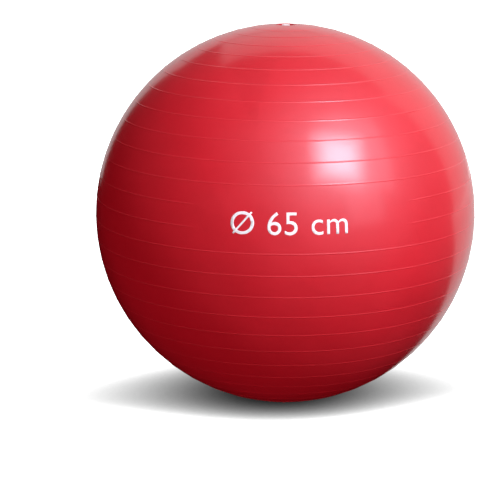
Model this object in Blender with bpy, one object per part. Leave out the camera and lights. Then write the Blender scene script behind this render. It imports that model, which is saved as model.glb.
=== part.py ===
"""Inflatable exercise ball, 650 mm across: a ribbed PVC skin moulded in one piece, the valve
seat bonded into its top pole, and the stopper that is pushed into the seat.

The ball stands on the floor, z = 0, with its axis along +Z through the valve. The smooth
field for the print faces -Y. All sizes are in metres, and all angles in radians.
"""

import math

import bmesh
import bpy
from mathutils import Vector

# Skin
BALL_RADIUS = 0.325  # outside of the inflated skin, between its ribs
SKIN_WALL = 0.0008
CONTACT_RADIUS = 0.035  # the patch that the ball's own weight flattens
SPRUE_RADIUS = 0.012  # the thick spot inside the bottom pole, where the mould was filled
SPRUE_HEIGHT = 0.0022
SPRUE_FOOT = 0.0015  # how far its edge slopes out

# Ribs: one round the equator and RIBS_EACH_SIDE above and below it
RIBS_EACH_SIDE = 13
RIB_PITCH = math.radians(6.39)
RIB_CROWDING = math.radians(0.00145)  # the ribs close up by the cube of their number
RIB_HEIGHT = 0.0008
RIB_HALF_WIDTH = 0.0012

# The smooth field for the print, which interrupts two ribs
FIELD_RIBS = (1, 2)
FIELD_HALF_ANGLE = math.radians(32)
FIELD_DIRECTION = Vector((0.0, -1.0))

# Valve seat: a disc in the top pole's opening, with a dish and a bore for the stopper
SEAT_RADIUS = 0.0165
DISH_LIP = 0.0015  # flat rim round the dish
DISH_STEPS = 4
FLANGE_WIDTH = 0.0075  # how far the flange reaches under the skin that it is bonded to
FLANGE_THICKNESS = 0.0012
FLOOR_THICKNESS = 0.0016
NECK_WALL = 0.0034
NECK_LENGTH = 0.0200
NECK_CHAMFER = 0.0010
BORE_RADIUS = 0.0044
BORE_LEAD_IN = 0.0006
TIP_BORE_STEP = 0.0008  # how much smaller the radius of the bore's last stretch is
TIP_BORE_LENGTH = 0.0060

# The skin's thicker boss over the flange
BOSS_WALL = 0.0016
BOSS_MARGIN = 0.0020  # past the flange
BOSS_FADE = 0.0060  # width over which the boss thins to the skin's wall

# Stopper
FIT_GAP = 0.0003  # clearance round and under the stopper, and between seat and skin
HEAD_RADIUS = 0.0070
HEAD_THICKNESS = 0.0026
HEAD_SUNK = 0.0005  # the head's top below the ball's pole
HEAD_ROUND = 0.0007
FINGER_GAP = 0.0028  # room round the head on the dish's floor
DIMPLE_RADIUS = 0.0036
DIMPLE_DEPTH = 0.0006
SHANK_LENGTH = 0.0240
BEADS = 3  # sealing beads on the upper shank
BEAD_PITCH = 0.0036
BEAD_HEIGHT = 0.0004
HOLLOW_RADIUS = 0.0017
HOLLOW_DEPTH = 0.0180
TIP_CHAMFER = 0.0008

SKIN_SEGMENTS = 48
VALVE_SEGMENTS = 32
WELD = 1e-6  # merges a spun profile with its own start

CONTACT_DEPTH = BALL_RADIUS - math.sqrt(BALL_RADIUS**2 - CONTACT_RADIUS**2)
CENTRE = Vector((0.0, 0.0, BALL_RADIUS - CONTACT_DEPTH))
OPENING_RADIUS = SEAT_RADIUS + FIT_GAP
FLANGE_RADIUS = SEAT_RADIUS + FLANGE_WIDTH
BOSS_RADIUS = FLANGE_RADIUS + BOSS_MARGIN
DISH_RADIUS = SEAT_RADIUS - DISH_LIP
DISH_FLOOR_RADIUS = HEAD_RADIUS + FINGER_GAP
NECK_RADIUS = BORE_RADIUS + NECK_WALL
TIP_BORE_RADIUS = BORE_RADIUS - TIP_BORE_STEP
HEAD_TOP_Z = CENTRE.z + BALL_RADIUS - HEAD_SUNK
HEAD_Z = HEAD_TOP_Z - HEAD_THICKNESS
DISH_FLOOR_Z = HEAD_Z - FIT_GAP
SEAT_UNDERSIDE_Z = DISH_FLOOR_Z - FLOOR_THICKNESS
NECK_END_Z = SEAT_UNDERSIDE_Z - NECK_LENGTH
TIP_BORE_Z = NECK_END_Z + TIP_BORE_LENGTH


def clear_scene():
    for obj in list(bpy.data.objects):
        bpy.data.objects.remove(obj, do_unlink=True)


def plastic(name, color, roughness):
    """A moulded plastic with one colour."""
    material = bpy.data.materials.new(name)
    material.use_nodes = True
    shader = material.node_tree.nodes["Principled BSDF"]
    shader.inputs["Base Color"].default_value = (*color, 1.0)
    shader.inputs["Roughness"].default_value = roughness
    shader.inputs["Metallic"].default_value = 0.0
    material.diffuse_color = (*color, 1.0)
    return material


def spun(profile, segments):
    """A closed body of revolution about Z from (radius, height) points.

    The first and last points either both lie on the axis, or are joined to close the loop.
    """
    bm = bmesh.new()
    verts = [bm.verts.new((radius, 0.0, height)) for radius, height in profile]
    pairs = list(zip(verts, verts[1:]))
    if profile[0][0] > 0.0:
        pairs.append((verts[-1], verts[0]))
    edges = [bm.edges.new(pair) for pair in pairs]
    bmesh.ops.spin(
        bm,
        geom=verts + edges,
        cent=(0.0, 0.0, 0.0),
        axis=(0.0, 0.0, 1.0),
        angle=math.tau,
        steps=segments,
    )
    bmesh.ops.remove_doubles(bm, verts=bm.verts, dist=WELD)
    bmesh.ops.recalc_face_normals(bm, faces=bm.faces)
    return bm


def add_object(name, bm, material):
    """Names the finished mesh, shades it smooth between its sharp edges and shows it."""
    mesh = bpy.data.meshes.new(name)
    bm.to_mesh(mesh)
    bm.free()
    mesh.shade_smooth()
    mesh.set_sharp_from_angle(angle=math.radians(30))
    mesh.materials.append(material)
    obj = bpy.data.objects.new(name, mesh)
    bpy.context.collection.objects.link(obj)
    return obj


def rib_latitude(number):
    """The latitude of a rib, numbered up from the equator's 0."""
    return RIB_PITCH * number - RIB_CROWDING * number**3


def on_skin(latitude, height=0.0):
    """The profile point at a latitude, this far outside the skin, or inside if negative."""
    radius = BALL_RADIUS + height
    return radius * math.cos(latitude), CENTRE.z + radius * math.sin(latitude)


def under_skin(radius, depth=0.0):
    """The profile point this far below the upper skin, at a radius from the axis."""
    return radius, CENTRE.z + math.sqrt((BALL_RADIUS - depth) ** 2 - radius**2)


def skin_outside():
    """From the edge of the opening down over the ribs to the middle of the contact patch."""
    foot = RIB_HALF_WIDTH / BALL_RADIUS
    points = [under_skin(OPENING_RADIUS), under_skin(BOSS_RADIUS + BOSS_FADE)]
    for number in range(RIBS_EACH_SIDE, -RIBS_EACH_SIDE - 1, -1):
        latitude = rib_latitude(number)
        points.append(on_skin(latitude + foot))
        points.append(on_skin(latitude, RIB_HEIGHT))
        points.append(on_skin(latitude - foot))
    points.append((CONTACT_RADIUS, 0.0))
    points.append((0.0, 0.0))
    return points


def skin_inside():
    """From the sprue inside the bottom pole up to the inner edge of the opening."""
    inner_radius = BALL_RADIUS - SKIN_WALL
    patch_radius = math.sqrt(inner_radius**2 - (CENTRE.z - SKIN_WALL) ** 2)
    points = [
        (0.0, SPRUE_HEIGHT),
        (SPRUE_RADIUS, SPRUE_HEIGHT),
        (SPRUE_RADIUS + SPRUE_FOOT, SKIN_WALL),
        (patch_radius, SKIN_WALL),
    ]
    for number in range(-RIBS_EACH_SIDE, RIBS_EACH_SIDE + 1):
        points.append(on_skin(rib_latitude(number), -SKIN_WALL))
    points.append(under_skin(BOSS_RADIUS + BOSS_FADE, SKIN_WALL))
    points.append(under_skin(BOSS_RADIUS, BOSS_WALL))
    points.append(under_skin(OPENING_RADIUS, BOSS_WALL))
    return points


def smooth_field(bm):
    """Sinks the crests of the ribs that cross the field for the print into the skin."""
    crest_radius = BALL_RADIUS + RIB_HEIGHT
    crest_heights = [crest_radius * math.sin(rib_latitude(number)) for number in FIELD_RIBS]
    for vert in bm.verts:
        arm = vert.co - CENTRE
        is_crest = any(abs(arm.z - height) < WELD for height in crest_heights)
        if not is_crest or abs(arm.length - crest_radius) > WELD:
            continue
        if arm.xy.angle(FIELD_DIRECTION) < FIELD_HALF_ANGLE:
            vert.co = CENTRE + arm.normalized() * BALL_RADIUS


def make_ball_skin():
    # The open ends of the wall are both on the axis at the bottom: start there and go round.
    outside = skin_outside()
    inside = skin_inside()
    bm = spun(inside + outside, SKIN_SEGMENTS)
    smooth_field(bm)
    return add_object("ball_skin", bm, plastic("red_pvc_skin", (0.62, 0.012, 0.035), 0.22))


def dish_wall():
    """A quarter-wave from the dish's mouth down to its floor."""
    mouth_z = under_skin(DISH_RADIUS)[1]
    points = []
    for step in range(DISH_STEPS + 1):
        share = step / DISH_STEPS
        radius = DISH_RADIUS + (DISH_FLOOR_RADIUS - DISH_RADIUS) * share
        drop = (1.0 - math.cos(math.pi * share)) / 2.0
        points.append((radius, mouth_z + (DISH_FLOOR_Z - mouth_z) * drop))
    return points


def make_valve_seat():
    flange_depth = BOSS_WALL + FIT_GAP
    profile = [
        under_skin(SEAT_RADIUS),
        under_skin(SEAT_RADIUS, flange_depth),
        under_skin(FLANGE_RADIUS, flange_depth),
        under_skin(FLANGE_RADIUS, flange_depth + FLANGE_THICKNESS),
        (DISH_RADIUS, SEAT_UNDERSIDE_Z),
        (NECK_RADIUS, SEAT_UNDERSIDE_Z),
        (NECK_RADIUS, NECK_END_Z + NECK_CHAMFER),
        (NECK_RADIUS - NECK_CHAMFER, NECK_END_Z),
        (TIP_BORE_RADIUS, NECK_END_Z),
        (TIP_BORE_RADIUS, TIP_BORE_Z),
        (BORE_RADIUS, TIP_BORE_Z + TIP_BORE_STEP),
        (BORE_RADIUS, DISH_FLOOR_Z - BORE_LEAD_IN),
        (BORE_RADIUS + BORE_LEAD_IN, DISH_FLOOR_Z),
    ]
    profile += reversed(dish_wall())
    bm = spun(profile, VALVE_SEGMENTS)
    return add_object("valve_seat", bm, plastic("red_pvc_seat", (0.50, 0.010, 0.028), 0.35))


def beaded_shank(waist_radius, bead_radius):
    """Down the shank's upper stretch: flat-crested sealing beads with waists between them."""
    points = [(waist_radius, HEAD_Z)]
    for bead in range(BEADS):
        bead_z = HEAD_Z - BEAD_PITCH * (bead + 0.5)
        points.append((waist_radius, bead_z + 2.0 * BEAD_HEIGHT))
        points.append((bead_radius, bead_z + BEAD_HEIGHT))
        points.append((bead_radius, bead_z - BEAD_HEIGHT))
        points.append((waist_radius, bead_z - 2.0 * BEAD_HEIGHT))
    return points


def make_valve_plug():
    bead_radius = BORE_RADIUS - FIT_GAP
    waist_radius = bead_radius - BEAD_HEIGHT
    tip_radius = TIP_BORE_RADIUS - FIT_GAP
    taper_z = TIP_BORE_Z + FIT_GAP
    tip_z = HEAD_Z - SHANK_LENGTH
    profile = [
        (0.0, HEAD_TOP_Z - DIMPLE_DEPTH),
        (DIMPLE_RADIUS, HEAD_TOP_Z - DIMPLE_DEPTH),
        (DIMPLE_RADIUS + DIMPLE_DEPTH, HEAD_TOP_Z),
        (HEAD_RADIUS - HEAD_ROUND, HEAD_TOP_Z),
        (HEAD_RADIUS, HEAD_TOP_Z - HEAD_ROUND),
        (HEAD_RADIUS, HEAD_Z + HEAD_ROUND),
        (HEAD_RADIUS - HEAD_ROUND, HEAD_Z),
    ]
    profile += beaded_shank(waist_radius, bead_radius)
    profile += [
        (waist_radius, taper_z + waist_radius - tip_radius),
        (tip_radius, taper_z),
        (tip_radius, tip_z + TIP_CHAMFER),
        (tip_radius - TIP_CHAMFER, tip_z),
        (HOLLOW_RADIUS, tip_z),
        (HOLLOW_RADIUS, tip_z + HOLLOW_DEPTH),
        (0.0, tip_z + HOLLOW_DEPTH + HOLLOW_RADIUS / 2.0),
    ]
    bm = spun(profile, VALVE_SEGMENTS)
    return add_object("valve_plug", bm, plastic("white_stopper", (0.86, 0.86, 0.84), 0.38))


clear_scene()
make_ball_skin()
make_valve_seat()
make_valve_plug()
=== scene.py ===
# %% [markdown]
# # Exercise ball, 650 mm across
# A physiotherapy ball is one PVC skin, moulded hollow in a turning mould and blown up through a
# valve in its top pole. It has three pieces: the ribbed skin, the valve's dish that is bonded into
# it, and the white stopper that is pushed into the dish. The size is printed on the skin in ink.
# This lesson gives each of them its fine shape and its finish, around a fixed model of the ball.

import math

import bmesh
import bpy
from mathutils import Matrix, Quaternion, Vector
from mathutils.bvhtree import BVHTree


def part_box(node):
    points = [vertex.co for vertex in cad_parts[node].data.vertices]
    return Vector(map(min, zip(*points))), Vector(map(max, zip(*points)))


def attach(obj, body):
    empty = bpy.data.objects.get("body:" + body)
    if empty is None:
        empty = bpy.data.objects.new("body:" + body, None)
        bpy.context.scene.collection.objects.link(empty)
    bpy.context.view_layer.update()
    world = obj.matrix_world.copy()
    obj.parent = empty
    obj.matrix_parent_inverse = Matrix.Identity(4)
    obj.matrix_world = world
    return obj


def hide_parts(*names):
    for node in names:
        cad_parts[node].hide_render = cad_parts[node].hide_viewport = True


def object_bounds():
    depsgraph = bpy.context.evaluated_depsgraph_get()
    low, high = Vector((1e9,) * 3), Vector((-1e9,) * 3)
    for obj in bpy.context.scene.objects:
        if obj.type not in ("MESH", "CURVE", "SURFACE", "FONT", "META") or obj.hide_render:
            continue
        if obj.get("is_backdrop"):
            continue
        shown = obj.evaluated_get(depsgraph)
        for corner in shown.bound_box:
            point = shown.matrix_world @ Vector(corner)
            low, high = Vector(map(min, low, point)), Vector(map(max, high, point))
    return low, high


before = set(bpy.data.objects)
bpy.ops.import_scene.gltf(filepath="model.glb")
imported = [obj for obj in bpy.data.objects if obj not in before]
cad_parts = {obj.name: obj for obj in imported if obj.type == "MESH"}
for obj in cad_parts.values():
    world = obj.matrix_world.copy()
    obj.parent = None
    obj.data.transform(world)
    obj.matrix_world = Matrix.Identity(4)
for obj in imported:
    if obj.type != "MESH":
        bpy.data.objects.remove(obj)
fixed_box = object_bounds()

# %% [markdown]
# ## Sizes
# The boxes of the fixed pieces give the ball's radius, the height of its middle, and the reach of
# the valve. What a box can't say, such as the width of a rib, is written here once in metres. The
# ball stands on a patch that its own weight flattens, so its middle is a little lower than its
# radius.

# %% Sizes of the ball and its valve
skin_low, skin_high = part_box("ball_skin")
seat_low, seat_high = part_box("valve_seat")
plug_low, plug_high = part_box("valve_plug")

RIB_HEIGHT = 0.0008  # of the fixed model's ridges
BEAD_ON_SKIN = 0.00034  # of the finer, rounded beads that are seen
BALL_RADIUS = skin_high.x - RIB_HEIGHT
PATCH_RADIUS = 0.035
CENTRE_Z = math.sqrt(BALL_RADIUS**2 - PATCH_RADIUS**2)
CENTRE = Vector((0.0, 0.0, CENTRE_Z))
SKIN_WALL = 0.0008
BOSS_WALL = 0.0016
FLANGE_RADIUS = seat_high.x
HEAD_TOP_Z = plug_high.z
HEAD_RADIUS = plug_high.x
TIP_Z = plug_low.z
print(f"ball radius {BALL_RADIUS:.4f} m, middle at {CENTRE_Z:.4f} m, stopper's tip at {TIP_Z:.4f} m")

# %% [markdown]
# ## Helpers for node trees
# Shader trees and geometry trees are wired in the same way, so one helper adds a node and sets or
# links its inputs. A second one writes sums, which keeps a formula readable in the script. The
# modules stay plain Python, and each tree can be opened afterwards in the node editor.

# %% Add a node and wire it
def add_node(tree, kind, inputs=None, **settings):
    """Adds a node. Inputs are set by name or number: a socket is linked, a value is stored."""
    node = tree.nodes.new(kind)
    for setting, value in settings.items():
        setattr(node, setting, value)
    for label, value in (inputs or {}).items():
        if isinstance(value, bpy.types.NodeSocket):
            tree.links.new(value, node.inputs[label])
        else:
            node.inputs[label].default_value = value
    return node


def maths(tree, operation, *values):
    """One step of a sum. Values are sockets or numbers."""
    return add_node(tree, "ShaderNodeMath", dict(enumerate(values)), operation=operation).outputs[0]


def named_tree(name, kind, inputs, outputs):
    """An empty node group with named inputs (name, socket, value) and outputs (name, socket)."""
    tree = bpy.data.node_groups.new(name, kind)
    for label, socket_kind, value in inputs:
        socket = tree.interface.new_socket(label, in_out="INPUT", socket_type=socket_kind)
        if value is not None:
            socket.default_value = value
    for label, socket_kind in outputs:
        tree.interface.new_socket(label, in_out="OUTPUT", socket_type=socket_kind)
    return tree, tree.nodes.new("NodeGroupInput").outputs, tree.nodes.new("NodeGroupOutput").inputs


# %% [markdown]
# ## Finishes that the pieces share
# Moulded vinyl and moulded polyethylene differ in colour and gloss, but the same three effects make
# both of them look real: the pigment isn't mixed quite evenly, the mould leaves a fine orange peel,
# and hands and floors leave marks that dull the gloss. Each effect is a node group with sizes in
# metres, so a material only says how much of it there is. All read Object coordinates, so a pattern
# stays on its piece and has no seam.

# %% Pigment that is mixed a little unevenly
def noise(tree, size, detail, shift=0.0):
    """Noise with blotches of about this size in metres, as a value from 0 to 1."""
    place = add_node(tree, "ShaderNodeTexCoord").outputs["Object"]
    moved = add_node(tree, "ShaderNodeVectorMath", {0: place, 1: (shift, shift, shift)}, operation="ADD")
    scale = maths(tree, "DIVIDE", 1.0, size)
    inputs = {"Vector": moved.outputs[0], "Scale": scale, "Detail": detail, "Roughness": 0.55}
    return add_node(tree, "ShaderNodeTexNoise", inputs).outputs["Fac"]


def stretched(tree, value, low, high, to_low=0.0, to_high=1.0):
    """Stretches a value's range, and holds it at both ends."""
    inputs = {"Value": value, "From Min": low, "From Max": high, "To Min": to_low, "To Max": to_high}
    return add_node(tree, "ShaderNodeMapRange", inputs).outputs["Result"]


def blended(tree, factor, first, second):
    """The first colour where the factor is 0, and the second where it is 1."""
    inputs = {0: factor, 6: first, 7: second}
    return add_node(tree, "ShaderNodeMix", inputs, data_type="RGBA").outputs[2]


def make_pigment():
    tree, given, result = named_tree(
        "uneven_pigment",
        "ShaderNodeTree",
        [
            ("Colour", "NodeSocketColor", (0.5, 0.5, 0.5, 1.0)),
            ("Deep Colour", "NodeSocketColor", (0.4, 0.4, 0.4, 1.0)),
            ("Cloud Size", "NodeSocketFloat", 0.08),
            ("Fleck Size", "NodeSocketFloat", 0.004),
        ],
        [("Colour", "NodeSocketColor")],
    )
    clouds = stretched(tree, noise(tree, given["Cloud Size"], 3.0), 0.35, 0.70, 0.0, 0.75)
    flecks = stretched(tree, noise(tree, given["Fleck Size"], 2.0, 0.37), 0.45, 0.80, 0.0, 0.35)
    depth = maths(tree, "ADD", clouds, flecks)
    colour = blended(tree, depth, given["Colour"], given["Deep Colour"])
    tree.links.new(colour, result["Colour"])
    return tree


pigment = make_pigment()
print("shared finish:", pigment.name)


# %% Orange peel that the mould leaves
def make_peel():
    tree, given, result = named_tree(
        "mould_peel",
        "ShaderNodeTree",
        [
            ("Grain Size", "NodeSocketFloat", 0.0012),
            ("Ripple Size", "NodeSocketFloat", 0.012),
            ("Ripple Share", "NodeSocketFloat", 0.6),
        ],
        [("Height", "NodeSocketFloat")],
    )
    grain = noise(tree, given["Grain Size"], 2.0)
    ripple = noise(tree, given["Ripple Size"], 1.0, 0.71)
    grain_share = maths(tree, "SUBTRACT", 1.0, given["Ripple Share"])
    height = maths(
        tree,
        "ADD",
        maths(tree, "MULTIPLY", grain, grain_share),
        maths(tree, "MULTIPLY", ripple, given["Ripple Share"]),
    )
    tree.links.new(height, result["Height"])
    return tree


peel = make_peel()
print("shared finish:", peel.name)


# %% Marks of hands and floors
def make_wear():
    tree, given, result = named_tree(
        "handling_wear",
        "ShaderNodeTree",
        [
            ("Roughness", "NodeSocketFloat", 0.3),
            ("Spread", "NodeSocketFloat", 0.1),
            ("Smear Size", "NodeSocketFloat", 0.05),
            ("Dust Size", "NodeSocketFloat", 0.0016),
        ],
        [("Roughness", "NodeSocketFloat"), ("Dust", "NodeSocketFloat")],
    )
    smears = stretched(tree, noise(tree, given["Smear Size"], 5.0, 0.19), 0.30, 0.70, -0.5, 0.5)
    dulled = maths(tree, "MULTIPLY", smears, given["Spread"])
    tree.links.new(maths(tree, "ADD", given["Roughness"], dulled), result["Roughness"])
    specks = stretched(tree, noise(tree, given["Dust Size"], 1.0, 0.53), 0.66, 0.80)
    drifts = stretched(tree, noise(tree, given["Smear Size"], 2.0, 0.83), 0.45, 0.75)
    tree.links.new(maths(tree, "MULTIPLY", specks, drifts), result["Dust"])
    return tree


wear = make_wear()
print("shared finish:", wear.name)

# %% [markdown]
# ## The finishes
# The skin is soft PVC with a glossy face over a slightly hazy body, so it gets a rough base with a
# thin smooth coat, which gives both the wide glow round a highlight and a clear reflection of the
# room. The ribs' crests are painted a touch paler, a painted highlight that stands in for the glint
# along each rib. The valve's dish is the same vinyl, but from another mould and duller, and its red
# is painted darker as shade for its recess. The stopper is waxy polyethylene, and the print is a thin
# layer of matt ink.

# %% Build a finish from the shared effects
DUST_COLOUR = (0.75, 0.70, 0.68, 1.0)


def group_node(tree, group, **values):
    """Places a shared effect in a material. Names are written with _ for a space."""
    node = add_node(tree, "ShaderNodeGroup", node_tree=group)
    for label, value in values.items():
        node.inputs[label.replace("_", " ")].default_value = value
    return node.outputs


def moulded(name, colour, deep_colour, roughness, spread, peel_height, sizes, dust=0.06):
    """A moulded plastic. Sizes are those of its clouds, smears, grain and ripples in metres."""
    cloud_size, smear_size, grain_size, ripple_size = sizes
    material = bpy.data.materials.new(name)
    material.use_nodes = True
    tree = material.node_tree
    shader = tree.nodes["Principled BSDF"]
    hue = group_node(
        tree,
        pigment,
        Colour=(*colour, 1.0),
        Deep_Colour=(*deep_colour, 1.0),
        Cloud_Size=cloud_size,
        Fleck_Size=ripple_size,
    )
    marks = group_node(tree, wear, Roughness=roughness, Spread=spread, Smear_Size=smear_size)
    dusted = blended(tree, maths(tree, "MULTIPLY", marks["Dust"], dust), hue["Colour"], DUST_COLOUR)
    tree.links.new(dusted, shader.inputs["Base Color"])
    tree.links.new(marks["Roughness"], shader.inputs["Roughness"])
    relief = group_node(tree, peel, Grain_Size=grain_size, Ripple_Size=ripple_size)
    bump = add_node(tree, "ShaderNodeBump", {"Height": relief["Height"], "Distance": peel_height})
    tree.links.new(bump.outputs["Normal"], shader.inputs["Normal"])
    material.diffuse_color = (*colour, 1.0)
    return material


# %% Glossy red vinyl of the skin
# The paler crest red is a painted highlight along the ribs, standing in for their glint.
CREST_HIGHLIGHT_COLOUR = (0.80, 0.050, 0.060, 1.0)
CREST_HIGHLIGHT_SHARE = 0.36

skin_vinyl = moulded(
    "glossy_red_vinyl",
    colour=(0.630, 0.0070, 0.0170),
    deep_colour=(0.580, 0.0060, 0.0145),
    roughness=0.60,
    spread=0.08,
    peel_height=0.00006,
    sizes=(0.090, 0.060, 0.0013, 0.011),
    dust=0.01,
)
skin_tree = skin_vinyl.node_tree
skin_shader = skin_tree.nodes["Principled BSDF"]
skin_shader.inputs["IOR"].default_value = 1.60
skin_shader.inputs["Specular IOR Level"].default_value = 0.85
skin_shader.inputs["Coat Weight"].default_value = 1.0
skin_shader.inputs["Coat Roughness"].default_value = 0.18
skin_shader.inputs["Coat IOR"].default_value = 1.50

crest = add_node(skin_tree, "ShaderNodeAttribute", attribute_name="rib_crest").outputs["Fac"]
dusted_vinyl = skin_shader.inputs["Base Color"].links[0].from_socket
# Painted highlight: the crests are blended towards the paler red by their height.
painted_crest_highlight = maths(skin_tree, "MULTIPLY", crest, CREST_HIGHLIGHT_SHARE)
crest_highlighted_colour = blended(skin_tree, painted_crest_highlight, dusted_vinyl, CREST_HIGHLIGHT_COLOUR)
skin_tree.links.new(crest_highlighted_colour, skin_shader.inputs["Base Color"])
print("finish:", skin_vinyl.name)

# %% Vinyl of the dish, polyethylene of the stopper, and ink
# The dish's red is darker than the skin's: painted shade for its recess.
dish_vinyl = moulded(
    "satin_red_vinyl_painted_shade",
    colour=(0.480, 0.0210, 0.0300),
    deep_colour=(0.400, 0.0160, 0.0230),
    roughness=0.40,
    spread=0.10,
    peel_height=0.00003,
    sizes=(0.014, 0.009, 0.0006, 0.0030),
)
stopper_plastic = moulded(
    "waxy_white_polyethylene",
    colour=(0.850, 0.850, 0.830),
    deep_colour=(0.780, 0.780, 0.755),
    roughness=0.38,
    spread=0.14,
    peel_height=0.00003,
    sizes=(0.010, 0.005, 0.0005, 0.0020),
    dust=0.12,
)
ink = moulded(
    "white_screen_ink",
    colour=(0.920, 0.900, 0.895),
    deep_colour=(0.860, 0.800, 0.795),
    roughness=0.45,
    spread=0.12,
    peel_height=0.00003,
    sizes=(0.030, 0.020, 0.0007, 0.0040),
)
print("finishes:", dish_vinyl.name, stopper_plastic.name, ink.name)

# %% [markdown]
# ## The ribbed belt of the skin
# The skin carries 27 thin raised beads that stop the ball from slipping. One runs round the equator,
# and the others follow above and below, closing up slightly towards the poles. The two just above
# the equator stop at the field for the print. A shape with such a rule suits Geometry Nodes: a flat
# grid is rolled into a ball, its columns becoming longitudes and its rows latitudes. The rows crowd
# together at each rib, where the shape needs them, so the mesh stays light. The skin is also never
# perfectly round, so a little noise pushes it in and out by up to a tenth of a millimetre.

# %% The tree that rolls a grid into a ribbed belt
def make_belt_tree():
    tree, given, result = named_tree(
        "ribbed_belt",
        "GeometryNodeTree",
        [
            ("Columns", "NodeSocketInt", 192),
            ("Rows per Rib", "NodeSocketInt", 16),
            ("Ribs Each Side", "NodeSocketInt", 13),
            ("Ball Radius", "NodeSocketFloat", 0.325),
            ("Centre Height", "NodeSocketFloat", 0.32),
            ("Rib Pitch", "NodeSocketFloat", math.radians(6.39)),
            ("Rib Crowding", "NodeSocketFloat", math.radians(0.00145)),
            ("Rib Height", "NodeSocketFloat", 0.0008),
            ("Rib Half Width", "NodeSocketFloat", 0.0012),
            ("Even Share", "NodeSocketFloat", 0.15),
            ("Row Crowding", "NodeSocketFloat", 5.0),
            ("Lowest Field Rib", "NodeSocketFloat", 1.0),
            ("Highest Field Rib", "NodeSocketFloat", 2.0),
            ("Field Half Angle", "NodeSocketFloat", math.radians(32.0)),
            ("Rib End Length", "NodeSocketFloat", math.radians(3.0)),
            ("Unevenness", "NodeSocketFloat", 0.0002),
            ("Unevenness Size", "NodeSocketFloat", 0.09),
            ("Seed", "NodeSocketFloat", 4.0),
            ("Material", "NodeSocketMaterial", None),
        ],
        [("Geometry", "NodeSocketGeometry")],
    )

    def m(operation, *values):
        return maths(tree, operation, *values)

    cells = m("MULTIPLY_ADD", given["Ribs Each Side"], 2.0, 1.0)
    grid = add_node(
        tree,
        "GeometryNodeMeshGrid",
        {
            "Size X": 1.0,
            "Size Y": 1.0,
            "Vertices X": m("ADD", given["Columns"], 1.0),
            "Vertices Y": m("MULTIPLY_ADD", cells, given["Rows per Rib"], 1.0),
        },
    )
    position = add_node(tree, "GeometryNodeInputPosition").outputs[0]
    flat = add_node(tree, "ShaderNodeSeparateXYZ", {0: position})
    longitude = m("MULTIPLY", flat.outputs["X"], math.tau)

    # Rows: the nearest rib's number, and how far the row is from it
    row = m("MULTIPLY", flat.outputs["Y"], cells)
    rib = m("ROUND", row)
    beside = m("SUBTRACT", row, rib)
    bunched = m("POWER", m("ABSOLUTE", m("MULTIPLY", beside, 2.0)), given["Row Crowding"])
    bunched_share = m("MULTIPLY", m("SUBTRACT", 1.0, given["Even Share"]), 0.5)
    spread_out = m("MULTIPLY", m("MULTIPLY", bunched, bunched_share), m("SIGN", beside))
    placed_row = m("ADD", rib, m("MULTIPLY_ADD", beside, given["Even Share"], spread_out))

    def latitude_of(number):
        cube = m("POWER", m("ABSOLUTE", number), 3.0)
        crowding = m("MULTIPLY", m("MULTIPLY", cube, m("SIGN", number)), given["Rib Crowding"])
        return m("SUBTRACT", m("MULTIPLY", number, given["Rib Pitch"]), crowding)

    latitude = latitude_of(placed_row)
    from_rib = m("ABSOLUTE", m("SUBTRACT", latitude, latitude_of(rib)))
    across = m("DIVIDE", m("MULTIPLY", from_rib, given["Ball Radius"]), given["Rib Half Width"])
    wave = m("COSINE", m("MULTIPLY", m("MINIMUM", across, 1.0), math.pi))
    bead = m("MULTIPLY_ADD", wave, 0.5, 0.5)

    # The smooth field stops two ribs
    above = m("GREATER_THAN", rib, m("SUBTRACT", given["Lowest Field Rib"], 0.5))
    below = m("LESS_THAN", rib, m("ADD", given["Highest Field Rib"], 0.5))
    rib_stops = m("MULTIPLY", above, below)
    edge = add_node(
        tree,
        "ShaderNodeMapRange",
        {
            "Value": m("ABSOLUTE", longitude),
            "From Min": given["Field Half Angle"],
            "From Max": m("ADD", given["Field Half Angle"], given["Rib End Length"]),
            "To Min": 1.0,
            "To Max": 0.0,
        },
        interpolation_type="SMOOTHSTEP",
    ).outputs["Result"]
    crest_height = m("MULTIPLY", bead, m("SUBTRACT", 1.0, m("MULTIPLY", rib_stops, edge)))

    # Directions from the ball's middle, with longitude 0 on -Y
    level = m("COSINE", latitude)
    direction = add_node(
        tree,
        "ShaderNodeCombineXYZ",
        {
            0: m("MULTIPLY", level, m("SINE", longitude)),
            1: m("MULTIPLY", m("MULTIPLY", level, m("COSINE", longitude)), -1.0),
            2: m("SINE", latitude),
        },
    ).outputs[0]

    # A blown-up skin is never quite round. The belt's two edges stay true.
    on_ball = add_node(
        tree, "ShaderNodeVectorMath", {0: direction, "Scale": given["Ball Radius"]}, operation="SCALE"
    ).outputs[0]
    lump_scale = m("DIVIDE", 1.0, given["Unevenness Size"])
    lumps = add_node(
        tree,
        "ShaderNodeTexNoise",
        {"Vector": on_ball, "W": given["Seed"], "Scale": lump_scale, "Detail": 1.0},
        noise_dimensions="4D",
    ).outputs["Fac"]
    to_edge = m("SUBTRACT", m("MULTIPLY", cells, 0.5), m("ABSOLUTE", row))
    inside_edge = m("MINIMUM", m("MULTIPLY", to_edge, 0.5), 1.0)
    lump_height = m("MULTIPLY", m("MULTIPLY", m("SUBTRACT", lumps, 0.5), given["Unevenness"]), inside_edge)
    radius = m("ADD", m("MULTIPLY_ADD", crest_height, given["Rib Height"], given["Ball Radius"]), lump_height)
    around = add_node(tree, "ShaderNodeVectorMath", {0: direction, "Scale": radius}, operation="SCALE")
    centre = add_node(tree, "ShaderNodeCombineXYZ", {2: given["Centre Height"]}).outputs[0]
    lifted = add_node(
        tree,
        "ShaderNodeVectorMath",
        {0: around.outputs[0], 1: centre},
        operation="ADD",
    )

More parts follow.
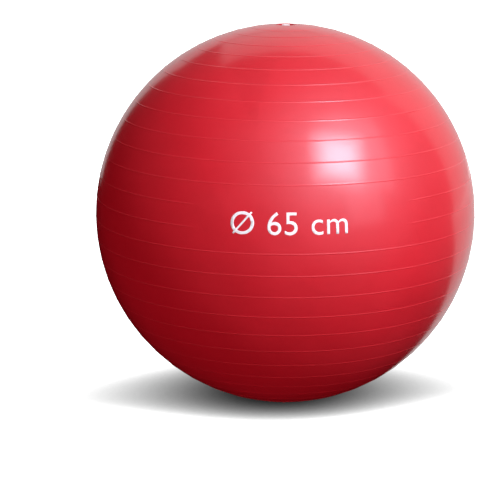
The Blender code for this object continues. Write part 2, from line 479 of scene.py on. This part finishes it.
    # The crest is stored first, because it is worked out from the flat grid
    crested = add_node(
        tree,
        "GeometryNodeStoreNamedAttribute",
        {"Geometry": grid.outputs["Mesh"], "Name": "rib_crest", "Value": crest_height},
        data_type="FLOAT",
        domain="POINT",
    )
    rolled = add_node(
        tree,
        "GeometryNodeSetPosition",
        {"Geometry": crested.outputs["Geometry"], "Position": lifted.outputs[0]},
    )
    joined = add_node(
        tree, "GeometryNodeMergeByDistance", {"Geometry": rolled.outputs["Geometry"], "Distance": 0.00001}
    )
    real = add_node(tree, "GeometryNodeRealizeInstances", {"Geometry": joined.outputs["Geometry"]})
    finished = add_node(
        tree,
        "GeometryNodeSetMaterial",
        {"Geometry": real.outputs["Geometry"], "Material": given["Material"]},
    )
    tree.links.new(finished.outputs["Geometry"], result["Geometry"])
    return tree


belt_tree = make_belt_tree()
print("belt tree:", len(belt_tree.nodes), "nodes")


# %% Run a tree and keep its result as a plain mesh
def grown(tree, sizes):
    """Sets a tree's named inputs, runs it on an empty object, and returns a plain mesh."""
    holder = bpy.data.objects.new(tree.name, bpy.data.meshes.new(tree.name))
    bpy.context.scene.collection.objects.link(holder)
    modifier = holder.modifiers.new(tree.name, "NODES")
    modifier.node_group = tree
    for item in tree.interface.items_tree:
        if item.item_type == "SOCKET" and item.in_out == "INPUT" and item.name in sizes:
            modifier[item.identifier] = sizes[item.name]
    graph = bpy.context.evaluated_depsgraph_get()
    mesh = bpy.data.meshes.new_from_object(
        holder.evaluated_get(graph), preserve_all_data_layers=True, depsgraph=graph
    )
    bpy.data.objects.remove(holder)
    return mesh


belt = grown(
    belt_tree,
    {
        "Ball Radius": BALL_RADIUS,
        "Centre Height": CENTRE_Z,
        "Rib Height": BEAD_ON_SKIN,
        "Material": skin_vinyl,
    },
)
print("belt:", len(belt.vertices), "corners,", len(belt.polygons), "faces")

# %% [markdown]
# ## From belt to closed skin
# Inside its wall the skin is plain, so the rest of it is carried on from the belt's two open
# edges: one ring of corners after another, each at its own radius and height. Upwards the rings
# go over the rim of the opening, under the thicker boss, and down the inside of the wall.
# Downwards they round off into the flat patch. The body closes on the axis inside and outside.

# %% Rings of corners round the axis
def open_rings(bm):
    """The open edges of a belt, the lower and the upper, as rings of corners in order."""
    corners = [vert for vert in bm.verts if vert.is_boundary]
    middle_z = sum(vert.co.z for vert in corners) / len(corners)
    lower = [vert for vert in corners if vert.co.z < middle_z]
    upper = [vert for vert in corners if vert.co.z > middle_z]
    for ring in (lower, upper):
        ring.sort(key=lambda vert: math.atan2(vert.co.x, -vert.co.y))
    return lower, upper


def joined_rings(bm, ring, next_ring):
    """Faces between two rings."""
    for index, corner in enumerate(ring):
        after = (index + 1) % len(ring)
        bm.faces.new((corner, ring[after], next_ring[after], next_ring[index]))


def carried_on(bm, ring, profile):
    """Carries a ring on through (radius, height) points, and returns the last ring."""
    for radius, height in profile:
        next_ring = []
        for corner in ring:
            spoke = corner.co.xy.normalized() * radius
            next_ring.append(bm.verts.new((spoke.x, spoke.y, height)))
        joined_rings(bm, ring, next_ring)
        ring = next_ring
    return ring


def closed_on_axis(bm, ring, height):
    """Closes a ring with a fan of faces to a point on the axis."""
    middle = bm.verts.new((0.0, 0.0, height))
    for index, corner in enumerate(ring):
        bm.faces.new((corner, ring[(index + 1) % len(ring)], middle))


def finished_piece(name, bm, material, sharp_angle=40.0):
    """Turns a closed body into an object, with faces outwards and smooth shading."""
    bmesh.ops.recalc_face_normals(bm, faces=bm.faces)
    open_edges = sum(1 for edge in bm.edges if not edge.is_manifold)
    volume = bm.calc_volume(signed=True)
    mesh = bpy.data.meshes.new(name)
    bm.to_mesh(mesh)
    bm.free()
    mesh.shade_smooth()
    mesh.set_sharp_from_angle(angle=math.radians(sharp_angle))
    mesh.materials.clear()
    mesh.materials.append(material)
    piece = bpy.data.objects.new(name, mesh)
    bpy.context.scene.collection.objects.link(piece)
    triangles = sum(len(face.vertices) - 2 for face in mesh.polygons)
    print(f"{name}: {triangles} triangles, {volume * 1e6:.2f} cm3, {open_edges} open edges")
    return piece


# %% Profiles with eased corners
def eased(corners, steps=4, closed=False):
    """Points through (radius, height, easing) corners, each rounded off over its easing."""
    points = []
    for index, (radius, height, easing) in enumerate(corners):
        corner = Vector((radius, height))
        if easing == 0.0:
            points.append(corner)
            continue
        last = corners[index - 1]
        following = corners[(index + 1) % len(corners)]
        back = (Vector(last[:2]) - corner).normalized() * easing
        ahead = (Vector(following[:2]) - corner).normalized() * easing
        for step in range(steps + 1):
            share = step / steps
            points.append(corner + back * (1.0 - share) ** 2 + ahead * share**2)
    return points


def on_ball(radius, depth=0.0):
    """Height of the upper skin at a radius from the axis, this far under its outside."""
    return CENTRE_Z + math.sqrt((BALL_RADIUS - depth) ** 2 - radius**2)


# %% The closed skin
OPENING_RADIUS = 0.0168
BOSS_RADIUS = 0.0260
BOSS_FADE = 0.0060
RIM_EASING = 0.0004
SPRUE_RADIUS = 0.0120
SPRUE_HEIGHT = 0.0022
PATCH_EASING = 0.00006
INSIDE_RINGS = 24


def rim_and_inside():
    """From the belt's top edge over the opening's rim and down the inside to the axis."""
    outside = [(radius, on_ball(radius)) for radius in (0.036, 0.032, 0.028, 0.024, 0.020)]
    rim = eased(
        [
            (0.0180, on_ball(0.0180), 0.0),
            (OPENING_RADIUS, on_ball(OPENING_RADIUS), RIM_EASING),
            (OPENING_RADIUS, on_ball(OPENING_RADIUS, BOSS_WALL), RIM_EASING),
            (0.0200, on_ball(0.0200, BOSS_WALL), 0.0),
            (BOSS_RADIUS, on_ball(BOSS_RADIUS, BOSS_WALL), 0.0015),
            (BOSS_RADIUS + BOSS_FADE, on_ball(BOSS_RADIUS + BOSS_FADE, SKIN_WALL), 0.0015),
            (0.0360, on_ball(0.0360, SKIN_WALL), 0.0),
        ]
    )
    inner_radius = BALL_RADIUS - SKIN_WALL
    patch_height = SKIN_WALL - CENTRE_Z
    start = math.asin(0.0360 / inner_radius)
    end = math.acos(patch_height / inner_radius)
    inside = []
    for index in range(1, INSIDE_RINGS + 1):
        turn = start + (end - start) * index / INSIDE_RINGS
        inside.append((inner_radius * math.sin(turn), CENTRE_Z + inner_radius * math.cos(turn)))
    sprue = eased(
        [
            (0.0200, SKIN_WALL, 0.0),
            (SPRUE_RADIUS + 0.0015, SKIN_WALL, 0.0006),
            (SPRUE_RADIUS, SPRUE_HEIGHT, 0.0006),
            (0.0060, SPRUE_HEIGHT, 0.0),
        ]
    )
    return outside + rim + inside + sprue


def patch_outside():
    """From the belt's bottom edge into the patch that the ball stands on."""
    points = []
    for radius in (0.0395, 0.0380, 0.0368, 0.0359, 0.0350, 0.0341, 0.0332, 0.0320):
        drop = CENTRE_Z - math.sqrt(BALL_RADIUS**2 - radius**2)
        points.append((radius, (drop + math.sqrt(drop**2 + PATCH_EASING**2)) / 2.0))
    return points + [(0.0300, 0.0), (0.0200, 0.0), (0.0080, 0.0)]


skin_body = bmesh.new()
skin_body.from_mesh(belt)
lower_edge, upper_edge = open_rings(skin_body)
closed_on_axis(skin_body, carried_on(skin_body, lower_edge, patch_outside()), 0.0)
closed_on_axis(skin_body, carried_on(skin_body, upper_edge, rim_and_inside()), SPRUE_HEIGHT)
ribbed_skin = finished_piece("ribbed_skin", skin_body, skin_vinyl)
bpy.data.meshes.remove(belt)

# %% [markdown]
# ## The valve's dish
# A turned piece of vinyl sits in the skin's opening: a rim level with the ball, a soft dish round
# the stopper, a flange under the skin that the two are bonded by, and a neck that grips the
# stopper. Its corners are eased the way a mould leaves them, because a perfectly sharp edge
# catches no light. One closed profile is carried round the axis as rings.

# %% The dish from its profile
VALVE_COLUMNS = 96
SEAT_RADIUS = 0.0165
DISH_RADIUS = 0.0150
DISH_FLOOR_RADIUS = 0.0098
FLANGE_THICKNESS = 0.0012
NECK_RADIUS = 0.0078
BORE_RADIUS = 0.0044
TIP_BORE_RADIUS = 0.0036
FIT_GAP = 0.0003
HEAD_THICKNESS = 0.0026
HEAD_Z = HEAD_TOP_Z - HEAD_THICKNESS
DISH_FLOOR_Z = HEAD_Z - FIT_GAP
SEAT_UNDERSIDE_Z = DISH_FLOOR_Z - 0.0016
NECK_END_Z = seat_low.z
TIP_BORE_Z = NECK_END_Z + 0.0060
DISH_RINGS = 14


def first_ring(bm, radius, height, columns):
    """A new ring of corners round the axis."""
    ring = []
    for column in range(columns):
        turn = math.tau * column / columns
        ring.append(bm.verts.new((radius * math.sin(turn), -radius * math.cos(turn), height)))
    return ring


def dish_wall():
    """A soft wave from the dish's floor up to its mouth."""
    mouth_z = on_ball(DISH_RADIUS)
    points = []
    for index in range(DISH_RINGS + 1):
        share = index / DISH_RINGS
        rise = (1.0 - math.cos(math.pi * share)) / 2.0
        radius = DISH_FLOOR_RADIUS + (DISH_RADIUS - DISH_FLOOR_RADIUS) * share
        points.append((radius, DISH_FLOOR_Z + (mouth_z - DISH_FLOOR_Z) * rise))
    return points


flange_top = BOSS_WALL + FIT_GAP
seat_profile = eased(
    [
        (SEAT_RADIUS, on_ball(SEAT_RADIUS), 0.0003),
        (SEAT_RADIUS, on_ball(SEAT_RADIUS, flange_top), 0.0003),
        (FLANGE_RADIUS, on_ball(FLANGE_RADIUS, flange_top), 0.0003),
        (FLANGE_RADIUS, on_ball(FLANGE_RADIUS, flange_top + FLANGE_THICKNESS), 0.0004),
        (DISH_RADIUS, SEAT_UNDERSIDE_Z, 0.0008),
        (NECK_RADIUS, SEAT_UNDERSIDE_Z, 0.0008),
        (NECK_RADIUS, NECK_END_Z + 0.0010, 0.0003),
        (NECK_RADIUS - 0.0010, NECK_END_Z, 0.0003),
        (TIP_BORE_RADIUS, NECK_END_Z, 0.0003),
        (TIP_BORE_RADIUS, TIP_BORE_Z, 0.0002),
        (BORE_RADIUS, TIP_BORE_Z + 0.0008, 0.0002),
        (BORE_RADIUS, DISH_FLOOR_Z - 0.0006, 0.0002),
        (BORE_RADIUS + 0.0006, DISH_FLOOR_Z, 0.0002),
    ]
)
seat_profile += dish_wall()
seat_body = bmesh.new()
seat_start = first_ring(seat_body, *seat_profile[0], VALVE_COLUMNS)
seat_end = carried_on(seat_body, seat_start, seat_profile[1:])
joined_rings(seat_body, seat_end, seat_start)
valve_dish = finished_piece("valve_dish", seat_body, dish_vinyl)

# %% [markdown]
# ## The stopper
# The stopper is pushed in by hand and holds by three beads round its shank. Beads repeat by a rule,
# so a second small tree rolls a grid into a tube and swells it once for each bead. The head with
# its finger dimple, and the hollow tip, are carried on from the tube's two ends, like the skin's
# rim. A small nub in the dimple is where the plastic was let into the mould.

# %% The tree that makes a beaded tube
def make_tube_tree():
    tree, given, result = named_tree(
        "beaded_tube",
        "GeometryNodeTree",
        [
            ("Columns", "NodeSocketInt", 96),
            ("Beads", "NodeSocketInt", 3),
            ("Rows per Bead", "NodeSocketInt", 18),
            ("Bead Pitch", "NodeSocketFloat", 0.0036),
            ("Bead Height", "NodeSocketFloat", 0.0004),
            ("Bead Half Width", "NodeSocketFloat", 0.0009),
            ("Waist Radius", "NodeSocketFloat", 0.0037),
            ("Top Height", "NodeSocketFloat", 0.64),
            ("Material", "NodeSocketMaterial", None),
        ],
        [("Geometry", "NodeSocketGeometry")],
    )

    def m(operation, *values):
        return maths(tree, operation, *values)

    rows = m("MULTIPLY_ADD", given["Beads"], given["Rows per Bead"], 1.0)
    grid = add_node(
        tree,
        "GeometryNodeMeshGrid",
        {"Size X": 1.0, "Size Y": 1.0, "Vertices X": m("ADD", given["Columns"], 1.0), "Vertices Y": rows},
    )
    position = add_node(tree, "GeometryNodeInputPosition").outputs[0]
    flat = add_node(tree, "ShaderNodeSeparateXYZ", {0: position})
    turn = m("MULTIPLY", flat.outputs["X"], math.tau)
    down = m("MULTIPLY", m("SUBTRACT", 0.5, flat.outputs["Y"]), given["Beads"])
    from_bead = m("ABSOLUTE", m("SUBTRACT", m("FRACT", down), 0.5))
    across = m("DIVIDE", m("MULTIPLY", from_bead, given["Bead Pitch"]), given["Bead Half Width"])
    wave = m("COSINE", m("MULTIPLY", m("MINIMUM", across, 1.0), math.pi))
    swell = m("MULTIPLY_ADD", wave, 0.5, 0.5)
    radius = m("MULTIPLY_ADD", swell, given["Bead Height"], given["Waist Radius"])
    place = add_node(
        tree,
        "ShaderNodeCombineXYZ",
        {
            0: m("MULTIPLY", radius, m("SINE", turn)),
            1: m("MULTIPLY", m("MULTIPLY", radius, m("COSINE", turn)), -1.0),
            2: m("SUBTRACT", given["Top Height"], m("MULTIPLY", down, given["Bead Pitch"])),
        },
    )
    rolled = add_node(
        tree, "GeometryNodeSetPosition", {"Geometry": grid.outputs["Mesh"], "Position": place.outputs[0]}
    )
    joined = add_node(
        tree, "GeometryNodeMergeByDistance", {"Geometry": rolled.outputs["Geometry"], "Distance": 0.000001}
    )
    real = add_node(tree, "GeometryNodeRealizeInstances", {"Geometry": joined.outputs["Geometry"]})
    finished = add_node(
        tree,
        "GeometryNodeSetMaterial",
        {"Geometry": real.outputs["Geometry"], "Material": given["Material"]},
    )
    tree.links.new(finished.outputs["Geometry"], result["Geometry"])
    return tree


tube_tree = make_tube_tree()
print("tube tree:", len(tube_tree.nodes), "nodes")

# %% The stopper from its beaded tube
BEAD_RADIUS = BORE_RADIUS - FIT_GAP
WAIST_RADIUS = BEAD_RADIUS - 0.0004
TIP_RADIUS = TIP_BORE_RADIUS - FIT_GAP
TAPER_Z = TIP_BORE_Z + FIT_GAP
HOLLOW_RADIUS = 0.0017
HOLLOW_DEPTH = 0.0180
DIMPLE_RADIUS = 0.0036
DIMPLE_DEPTH = 0.0006
GATE_RADIUS = 0.0006

tube = grown(
    tube_tree,
    {"Top Height": HEAD_Z - 0.0002, "Waist Radius": WAIST_RADIUS, "Material": stopper_plastic},
)
dimple_z = HEAD_TOP_Z - DIMPLE_DEPTH
head_profile = eased(
    [
        (WAIST_RADIUS + 0.0003, HEAD_Z, 0.0),
        (HEAD_RADIUS, HEAD_Z, 0.0005),
        (HEAD_RADIUS, HEAD_TOP_Z, 0.0009),
        (DIMPLE_RADIUS + 0.0009, HEAD_TOP_Z, 0.0006),
        (DIMPLE_RADIUS - 0.0003, dimple_z, 0.0006),
        (GATE_RADIUS + 0.0002, dimple_z, 0.0001),
        (GATE_RADIUS, dimple_z + 0.0002, 0.0001),
        (GATE_RADIUS * 0.4, dimple_z + 0.0002, 0.0),
    ],
    steps=6,
)
tip_profile = eased(
    [
        (WAIST_RADIUS, TAPER_Z + 0.0010, 0.0),
        (WAIST_RADIUS, TAPER_Z + WAIST_RADIUS - TIP_RADIUS, 0.0002),
        (TIP_RADIUS, TAPER_Z, 0.0002),
        (TIP_RADIUS, TIP_Z + 0.0008, 0.0003),
        (TIP_RADIUS - 0.0008, TIP_Z, 0.0003),
        (HOLLOW_RADIUS, TIP_Z, 0.0002),
        (HOLLOW_RADIUS, TIP_Z + HOLLOW_DEPTH, 0.0005),
        (HOLLOW_RADIUS * 0.3, TIP_Z + HOLLOW_DEPTH + 0.0006, 0.0),
    ]
)
plug_body = bmesh.new()
plug_body.from_mesh(tube)
tube_foot, tube_top = open_rings(plug_body)
closed_on_axis(plug_body, carried_on(plug_body, tube_top, head_profile), dimple_z + 0.00022)
closed_on_axis(plug_body, carried_on(plug_body, tube_foot, tip_profile), TIP_Z + HOLLOW_DEPTH + 0.0007)
stopper = finished_piece("stopper", plug_body, stopper_plastic)
bpy.data.meshes.remove(tube)

# %% [markdown]
# ## The printed size
# The smooth field is there for a print. A plain size in figures stands on it: the ball's diameter.
# Blender's own font makes the flat shape, which becomes a mesh and is cut into small faces, because
# a large flat face can't follow a ball. Each corner is then dropped on the real skin along a ray,
# and the layer gets the thickness of ink.

# %% The size as a flat mesh, cut small
MARK_WIDTH = 0.186
MARK_LONGITUDE = math.radians(-4.8)
MARK_LATITUDE = math.radians(8.6)
MARK_CELL = 0.004
INK_LIFT = 0.00007
INK_THICKNESS = 0.00005


def flat_mark(text):
    """The text as a flat mesh, centred, MARK_WIDTH wide and cut into small faces."""
    lettering = bpy.data.curves.new("printed_size", "FONT")
    lettering.body = text
    lettering.resolution_u = 8
    lettering.space_character = 1.04
    holder = bpy.data.objects.new("printed_size", lettering)
    bpy.context.scene.collection.objects.link(holder)
    graph = bpy.context.evaluated_depsgraph_get()
    mesh = bpy.data.meshes.new_from_object(holder.evaluated_get(graph), depsgraph=graph)
    bpy.data.objects.remove(holder)
    bm = bmesh.new()
    bm.from_mesh(mesh)
    bpy.data.meshes.remove(mesh)
    bmesh.ops.remove_doubles(bm, verts=bm.verts, dist=0.0001)
    low = Vector([min(vert.co[axis] for vert in bm.verts) for axis in (0, 1)])
    high = Vector([max(vert.co[axis] for vert in bm.verts) for axis in (0, 1)])
    scale = MARK_WIDTH / (high.x - low.x)
    for vert in bm.verts:
        vert.co.xy = (vert.co.xy - (low + high) / 2.0) * scale
        vert.co.z = 0.0
    size = (high - low) * scale
    for axis, reach in ((0, size.x), (1, size.y)):
        cuts = int(reach / MARK_CELL)
        for cut in range(1, cuts):
            point = Vector((0.0, 0.0, 0.0))
            point[axis] = reach * (cut / cuts - 0.5)
            normal = Vector((0.0, 0.0, 0.0))
            normal[axis] = 1.0
            geometry = bm.verts[:] + bm.edges[:] + bm.faces[:]
            bmesh.ops.bisect_plane(bm, geom=geometry, plane_co=point, plane_no=normal, dist=0.00001)
    print(f"flat size mark: {size.x * 1000:.0f} x {size.y * 1000:.0f} mm, {len(bm.faces)} faces")
    return bm


mark_body = flat_mark("Ø 65 cm")


# %% Lay the ink on the skin
def laid_on_skin(bm, skin):
    """Drops each corner of a flat shape on the skin along a ray to the ball's middle."""
    surface = BVHTree.FromObject(skin, bpy.context.evaluated_depsgraph_get())
    for vert in bm.verts:
        latitude = MARK_LATITUDE + vert.co.y / BALL_RADIUS
        longitude = MARK_LONGITUDE + vert.co.x / (BALL_RADIUS * math.cos(MARK_LATITUDE))
        level = math.cos(latitude)
        outward = Vector((level * math.sin(longitude), -level * math.cos(longitude), math.sin(latitude)))
        hit = surface.ray_cast(CENTRE + outward * (BALL_RADIUS + 0.01), -outward)[0]
        vert.co = hit + outward * INK_LIFT


laid_on_skin(mark_body, ribbed_skin)
bmesh.ops.recalc_face_normals(mark_body, faces=mark_body.faces)
inward = [face for face in mark_body.faces if face.normal.dot(face.calc_center_median() - CENTRE) < 0.0]
bmesh.ops.reverse_faces(mark_body, faces=inward)
mark_mesh = bpy.data.meshes.new("printed_size")
mark_body.to_mesh(mark_mesh)
mark_body.free()
mark_mesh.shade_smooth()
mark_mesh.materials.append(ink)
printed_size = bpy.data.objects.new("printed_size", mark_mesh)
bpy.context.scene.collection.objects.link(printed_size)
thickness = printed_size.modifiers.new("ink_thickness", "SOLIDIFY")
thickness.thickness = INK_THICKNESS
thickness.offset = -1.0
print("printed size:", len(mark_mesh.polygons), "faces,", len(inward), "turned outwards")

# %% [markdown]
# ## Which piece moves with which
# The skin, the dish and the print are one body. The stopper is the other: it slides straight up out
# of its bore. Each fine piece stands for one piece of the fixed model, which is hidden.

# %% Bodies, stand-ins and finishes
for piece, node, body, finish in (
    (ribbed_skin, "ball_skin", "ball", "skin_pvc"),
    (valve_dish, "valve_seat", "ball", "seat_pvc"),
    (stopper, "valve_plug", "plug", "plug_white"),
):
    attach(piece, body)
    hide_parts(node)
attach(printed_size, "ball")
print("pieces:", ribbed_skin.name, valve_dish.name, stopper.name, printed_size.name)

# %% [markdown]
# ## Floor and studio
# A glossy ball shows the room round it, so most of its look is the room. A softbox up on the right,
# made of three nested panels so that its edge is soft, gives the highlight. A paler scrim round it
# gives the highlight its glow. White sheets behind the ball on the right give the pale band along
# its edge, while the left of the room is dark, so the gloss stays deep there. A soft fill from all
# round, which gloss doesn't mirror, keeps that side from going black. The floor is a white sheet
# that glows for the camera alone and is black to all other rays. Its shadow is painted: the glow is
# darkened by the ball's closeness, like a shadow under a very wide light, and less in front of the
# ball and behind it than at its sides.

# %% The white floor with its painted shadow
CONTACT_REACH = 2.0
TOWARDS_LIGHT = (0.10, -0.15, 1.0)
OPEN_ENOUGH = 0.724
SHADE_AHEAD = 0.155
SHADE_BEHIND = 0.27
SHADE_SAMPLES = 32
SHADE_POWER = 1.6
MOST_OPEN = 1.25
OPEN_LIFT = 0.25
FLOOR_REACH = 20.0


def ray_choice(tree, ray, otherwise, chosen):
    """One shader for rays of a kind, and another for the rest."""
    is_ray = add_node(tree, "ShaderNodeLightPath").outputs[ray]
    return add_node(tree, "ShaderNodeMixShader", {0: is_ray, 1: otherwise, 2: chosen}).outputs[0]


def glow(tree, kind, strength, colour=(1.0, 1.0, 1.0, 1.0)):
    """A plain glow of this strength."""
    return add_node(tree, kind, {"Color": colour, "Strength": strength}).outputs[0]


def make_floor():
    mesh = bpy.data.meshes.new("floor")
    corners = [(x * FLOOR_REACH, y * FLOOR_REACH, 0) for x, y in ((-1, -1), (1, -1), (1, 1), (-1, 1))]
    mesh.from_pydata(corners, [], [(0, 1, 2, 3)])
    floor = bpy.data.objects.new("floor", mesh)
    bpy.context.scene.collection.objects.link(floor)
    material = bpy.data.materials.new("white_sheet_painted_shadow")
    material.use_nodes = True
    tree = material.node_tree
    tree.nodes.clear()
    # Painted shadow: the camera's glow is darkened by ambient occlusion, lifted in front and behind.
    upwards = add_node(tree, "ShaderNodeCombineXYZ", dict(enumerate(TOWARDS_LIGHT))).outputs[0]
    inputs = {"Distance": CONTACT_REACH, "Normal": upwards}
    openness = add_node(tree, "ShaderNodeAmbientOcclusion", inputs, samples=SHADE_SAMPLES).outputs["AO"]
    own_place = add_node(tree, "ShaderNodeTexCoord").outputs["Object"]
    place = add_node(tree, "ShaderNodeSeparateXYZ", {0: own_place})
    ahead = maths(tree, "MINIMUM", maths(tree, "DIVIDE", place.outputs["Y"], SHADE_AHEAD), 0.0)
    behind = maths(tree, "MAXIMUM", maths(tree, "DIVIDE", place.outputs["Y"], SHADE_BEHIND), 0.0)
    stretch = maths(tree, "POWER", maths(tree, "SUBTRACT", behind, ahead), 2.0)
    opened = maths(tree, "MULTIPLY_ADD", openness, stretch, openness)
    share = maths(tree, "MINIMUM", maths(tree, "DIVIDE", opened, OPEN_ENOUGH), MOST_OPEN)
    lift = maths(tree, "MULTIPLY_ADD", maths(tree, "POWER", share, 3.0), OPEN_LIFT, 1.0)
    painted_shadow = maths(tree, "POWER", share, SHADE_POWER)
    seen = glow(tree, "ShaderNodeEmission", maths(tree, "MULTIPLY", painted_shadow, lift))
    sheet = ray_choice(tree, "Is Camera Ray", glow(tree, "ShaderNodeEmission", 0.0), seen)
    output = add_node(tree, "ShaderNodeOutputMaterial")
    tree.links.new(sheet, output.inputs["Surface"])
    material.cycles.emission_sampling = "NONE"
    mesh.materials.append(material)
    return floor


floor = make_floor()
floor.visible_shadow = False
floor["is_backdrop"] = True

# %% The backdrop
BACKDROP_BRIGHTNESS = 1.1
world = bpy.data.worlds.new("studio")
bpy.context.scene.world = world
world.use_nodes = True
world.node_tree.nodes.clear()
unlit = glow(world.node_tree, "ShaderNodeBackground", 0.0)
backdrop = glow(world.node_tree, "ShaderNodeBackground", BACKDROP_BRIGHTNESS)
room = ray_choice(world.node_tree, "Is Camera Ray", unlit, backdrop)
world_output = add_node(world.node_tree, "ShaderNodeOutputWorld")
world.node_tree.links.new(room, world_output.inputs["Surface"])

# %% The softbox and the white panels
CAMERA_LONGITUDE = math.radians(-6.0)
WHITE = (1.0, 1.0, 1.0)


def from_ball(right, up, towards):
    """A place given from the ball's middle as the camera sees it, in metres."""
    sideways = Vector((math.cos(CAMERA_LONGITUDE), math.sin(CAMERA_LONGITUDE), 0.0))
    forward = Vector((math.sin(CAMERA_LONGITUDE), -math.cos(CAMERA_LONGITUDE), 0.0))
    return CENTRE + sideways * right + forward * towards + Vector((0.0, 0.0, up))


def panel(name, place, facing, size, brightness, colour=WHITE, mirrored=True, roll=0.0):
    """A flat light of this brightness that faces a point, and that the camera doesn't see."""
    light = bpy.data.lights.new(name, "AREA")
    light.shape = "RECTANGLE"
    light.size, light.size_y = size
    light.color = colour
    light.energy = brightness * math.pi * light.size * light.size_y
    lamp = bpy.data.objects.new(name, light)
    lamp.location = place
    turn = (facing - place).to_track_quat("-Z", "Y") @ Quaternion((0.0, 0.0, 1.0), roll)
    lamp.rotation_euler = turn.to_euler()
    lamp.visible_camera = False
    lamp.visible_glossy = mirrored
    light.cycles.use_multiple_importance_sampling = mirrored
    bpy.context.scene.collection.objects.link(lamp)
    return lamp


SOFTBOX_COLOUR = (0.97, 0.90, 1.08)
SOFTBOX_PLACE = from_ball(1.443, 1.879, 1.843)
SCRIM_ROLL = math.radians(-19.0)
SHEET_Z = 0.01 - CENTRE_Z

# Name, place, the point it faces, size, brightness, colour, roll
for name, place, facing, size, brightness, colour, roll in (
    ("softbox_heart", SOFTBOX_PLACE, CENTRE, (0.75, 0.75), 15.0, SOFTBOX_COLOUR, SCRIM_ROLL),
    ("softbox", SOFTBOX_PLACE, CENTRE, (1.15, 1.15), 9.5, SOFTBOX_COLOUR, SCRIM_ROLL),
    ("softbox_rim", SOFTBOX_PLACE, CENTRE, (1.60, 1.60), 4.0, SOFTBOX_COLOUR, SCRIM_ROLL),
    (
        "scrim",
        from_ball(2.39, 3.17, 1.56),
        from_ball(0.72, 2.94, -0.79),
        (2.95, 3.90),
        1.1,
        SOFTBOX_COLOUR,
        SCRIM_ROLL,
    ),
    ("scrim_foot", from_ball(2.10, 0.62, 1.95), CENTRE, (1.10, 0.90), 0.9, SOFTBOX_COLOUR, 0.0),
    ("right_wall", from_ball(1.50, 0.77, -1.65), from_ball(0.0, 0.77, -1.65), (2.2, 1.84), 0.58, WHITE, 0.0),
    ("back_wall", from_ball(-0.05, 0.69, -2.75), from_ball(-0.05, 0.69, 0.0), (3.1, 2.0), 0.60, WHITE, 0.0),
    ("ceiling", from_ball(0.35, 1.70, -1.70), from_ball(0.35, 0.0, -1.69), (2.3, 1.80), 0.62, WHITE, 0.0),
    (
        "floor_sheet",
        from_ball(1.30, SHEET_Z, -1.92),
        from_ball(1.3039, 2.0, -1.9108),
        (3.5, 2.6),
        0.65,
        WHITE,
        0.0,
    ),
):
    panel(name, place, facing, size, brightness, colour, roll=roll)

# %% The soft fill from all round
FILL = 0.38
ROOM_REACH = 4.0
WALL_SIZE = (ROOM_REACH * 2, ROOM_REACH)
ROOF_SIZE = (ROOM_REACH * 2, ROOM_REACH * 2)
CORNER_SIZE = (2.5, 2.5)
room_middle = Vector((0.0, 0.0, ROOM_REACH / 2.0))
above = Vector((0.0, 0.0, ROOM_REACH))
below = Vector((0.0, 0.0, -1.0))

# Name, place, the point it faces, size, brightness
for name, place, facing, size, brightness in (
    ("fill_left", room_middle + Vector((-ROOM_REACH, 0, 0)), room_middle, WALL_SIZE, FILL),
    ("fill_right", room_middle + Vector((ROOM_REACH, 0, 0)), room_middle, WALL_SIZE, FILL * 1.35),
    ("fill_front", room_middle + Vector((0, -ROOM_REACH, 0)), room_middle, WALL_SIZE, FILL),
    ("fill_back", room_middle + Vector((0, ROOM_REACH, 0)), room_middle, WALL_SIZE, FILL),
    ("fill_top", above, below, ROOF_SIZE, FILL * 0.75),
    ("fill_floor", below, above, ROOF_SIZE, FILL),
    ("rear_fill", from_ball(-1.50, 1.50, -3.00), CENTRE, CORNER_SIZE, 2.0),
    ("front_fill", from_ball(-0.60, 0.40, 3.90), CENTRE, CORNER_SIZE, 1.3),
):
    panel(name, place, facing, size, brightness, mirrored=False)

# %% [markdown]
# ## The camera
# It stands a little above the ball, ten ball radii away, with a long lens, so the outline is a true
# circle. It aims slightly left of and below the ball's middle, which leaves room on the floor. The
# colours are shown as they are, with no film look.

# %% The camera
CAMERA_ELEVATION = math.radians(11.6)
CAMERA_DISTANCE = 10.4 * BALL_RADIUS
AIM_LEFT = 0.0604
AIM_DOWN = 0.0658
LENS = 141.1

camera_data = bpy.data.cameras.new("camera")
camera_data.lens = LENS
camera_data.sensor_width = 36.0
camera_data.clip_end = 100.0
camera = bpy.data.objects.new("camera", camera_data)
bpy.context.scene.collection.objects.link(camera)
level_distance = CAMERA_DISTANCE * math.cos(CAMERA_ELEVATION)
camera.location = from_ball(0.0, CAMERA_DISTANCE * math.sin(CAMERA_ELEVATION), level_distance)
aim = from_ball(-AIM_LEFT, -AIM_DOWN, 0.0)
camera.rotation_euler = (aim - camera.location).to_track_quat("-Z", "Y").to_euler()
bpy.context.scene.camera = camera
bpy.context.scene.view_settings.view_transform = "Standard"
print("camera at", [round(value, 3) for value in camera.location])

# %% [markdown]
# ## The boxes
# The fine pieces are made to stay within the fixed model's box, apart from a few millimetres. Both
# boxes are printed in millimetres.

# %% Sizes of both boxes
shown_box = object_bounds()
for label, (low, high) in (("fixed", fixed_box), ("shown", shown_box)):
    print(label, "box in mm:", [round((high[axis] - low[axis]) * 1000, 1) for axis in range(3)])
